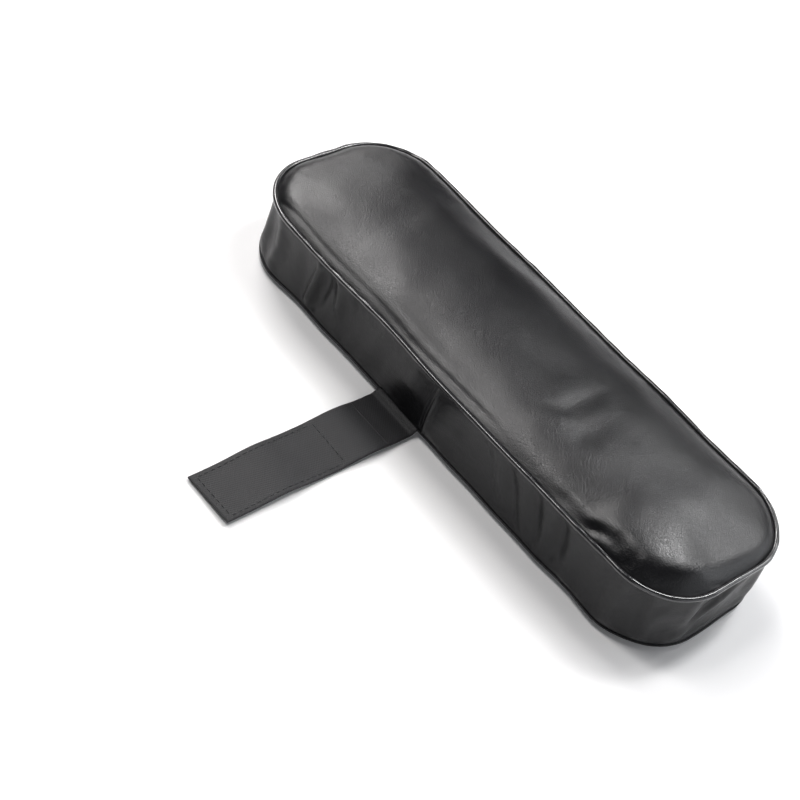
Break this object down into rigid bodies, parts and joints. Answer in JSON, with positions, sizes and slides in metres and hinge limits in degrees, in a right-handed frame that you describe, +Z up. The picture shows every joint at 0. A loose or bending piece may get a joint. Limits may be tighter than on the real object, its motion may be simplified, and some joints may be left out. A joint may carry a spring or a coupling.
{
  "type": "chair armrest pad",
  "caption": "Oblong padded armrest cushion in smooth black synthetic leather, piped round the top seam, with a zip along one side and a touch-fastening strap that closes under the armrest.",
  "frame": {"origin": "centre of the pad's underside, on the face that rests on the armrest", "axes": "+X along the pad's length, +Y across it towards the zip side, +Z up out of the cushion's crown"},
  "size_m": [0.25, 0.1765, 0.039],
  "materials": {
    "pu_leather": "smooth PU leather with a fine grain, satin, black",
    "pu_piping": "smooth PU leather strip folded over a cord, satin, black",
    "piping_cord": "twisted cotton cord, hidden",
    "base_fabric": "woven non-slip base cloth with small rubber dots, black",
    "memory_foam": "slow-recovery polyurethane foam, open cell, hidden",
    "support_foam": "firm polyurethane foam, open cell, hidden",
    "strap_webbing": "woven nylon tape, smooth back, black",
    "hook_tape": "nylon hook surface, black",
    "loop_tape": "brushed nylon loop surface, black",
    "zip_tape": "woven polyester zip tape, black",
    "zip_nylon": "nylon coil, black",
    "zip_metal": "zinc alloy, black lacquer",
    "thread": "bonded polyester thread, black"
  },
  "bodies": {
    "pad": {"top_panel": "pu_leather", "front_side_band": "pu_leather", "rear_side_band": "pu_leather", "bottom_panel": "base_fabric", "top_piping_cover": "pu_piping", "top_piping_cord": "piping_cord", "zip_band_upper": "pu_leather", "zip_band_lower": "pu_leather", "zip_tape_upper": "zip_tape", "zip_tape_lower": "zip_tape", "zip_coil_upper": "zip_nylon", "zip_coil_lower": "zip_nylon", "zip_stop_front": "zip_metal", "zip_stop_rear": "zip_metal", "memory_foam_layer": "memory_foam", "support_foam_base": "support_foam", "hook_strap_anchor": "strap_webbing", "loop_strap_anchor": "strap_webbing", "top_seam_thread": "thread", "bottom_seam_thread": "thread", "hook_anchor_thread": "thread", "loop_anchor_thread": "thread", "band_join_thread": "thread", "zip_stitch_upper": "thread", "zip_stitch_lower": "thread"},
    "hook_strap_root": {"hook_strap_base": "strap_webbing"},
    "hook_strap_tip": {"hook_strap_end": "strap_webbing", "hook_field": "hook_tape", "hook_field_thread": "thread"},
    "loop_strap_root": {"loop_strap_base": "strap_webbing"},
    "loop_strap_tip": {"loop_strap_end": "strap_webbing", "loop_field": "loop_tape", "loop_field_thread": "thread"},
    "slider": {"zip_slider": "zip_metal"},
    "pull": {"zip_pull": "zip_metal"}
  },
  "joints": [
    {"name": "hook_root_fold", "type": "hinge", "parent": "pad", "child": "hook_strap_root", "pos_m": [-0.015, -0.0414, -0.0011], "axis": [1, 0, 0], "range_deg": [0, 90]},
    {"name": "hook_tip_fold", "type": "hinge", "parent": "hook_strap_root", "child": "hook_strap_tip", "pos_m": [-0.015, -0.0674, -0.0011], "axis": [1, 0, 0], "range_deg": [0, 90]},
    {"name": "loop_root_fold", "type": "hinge", "parent": "pad", "child": "loop_strap_root", "pos_m": [-0.015, 0.0414, -0.0011], "axis": [1, 0, 0], "range_deg": [0, 90]},
    {"name": "loop_tip_fold", "type": "hinge", "parent": "loop_strap_root", "child": "loop_strap_tip", "pos_m": [-0.015, 0.0178, -0.0011], "axis": [1, 0, 0], "range_deg": [-90, 0]},
    {"name": "zip_slide", "type": "slide", "parent": "pad", "child": "slider", "axis": [-1, 0, 0], "range_m": [0, 0.144]},
    {"name": "zip_pull_swing", "type": "hinge", "parent": "slider", "child": "pull", "pos_m": [0.072, 0.0424, 0.0145], "axis": [0, 0, -1], "range_deg": [0, 170]}
  ],
  "couplings": [
    {"joint": "loop_tip_fold", "follows": "loop_root_fold", "ratio": -1}
  ]
}
